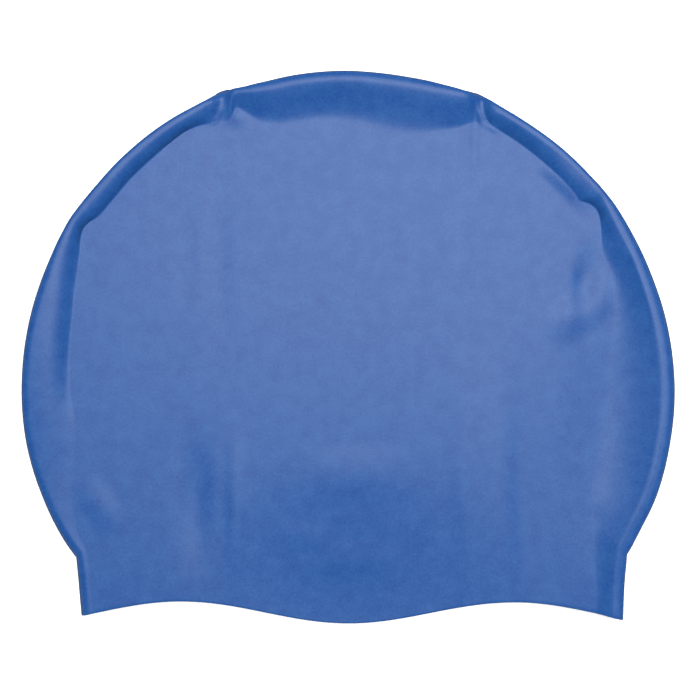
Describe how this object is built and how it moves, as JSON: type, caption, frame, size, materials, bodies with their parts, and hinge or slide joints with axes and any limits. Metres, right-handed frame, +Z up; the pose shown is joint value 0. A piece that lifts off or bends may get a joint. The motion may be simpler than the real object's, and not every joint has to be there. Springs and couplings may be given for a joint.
{
  "type": "swim cap",
  "caption": "One-piece moulded silicone swim cap, lying flat, with a rolled fold round the dome and an open waved rim.",
  "frame": {"origin": "on the surface that the cap lies on, under the middle of its outline", "axes": "+Z up from the surface, +Y from the open rim towards the crown, +X to the right seen from above"},
  "size_m": [0.22, 0.1866, 0.0118],
  "materials": {
    "silicone": "satin"
  },
  "bodies": {
    "root": {"cap_shell": "silicone"}
  },
  "joints": []
}
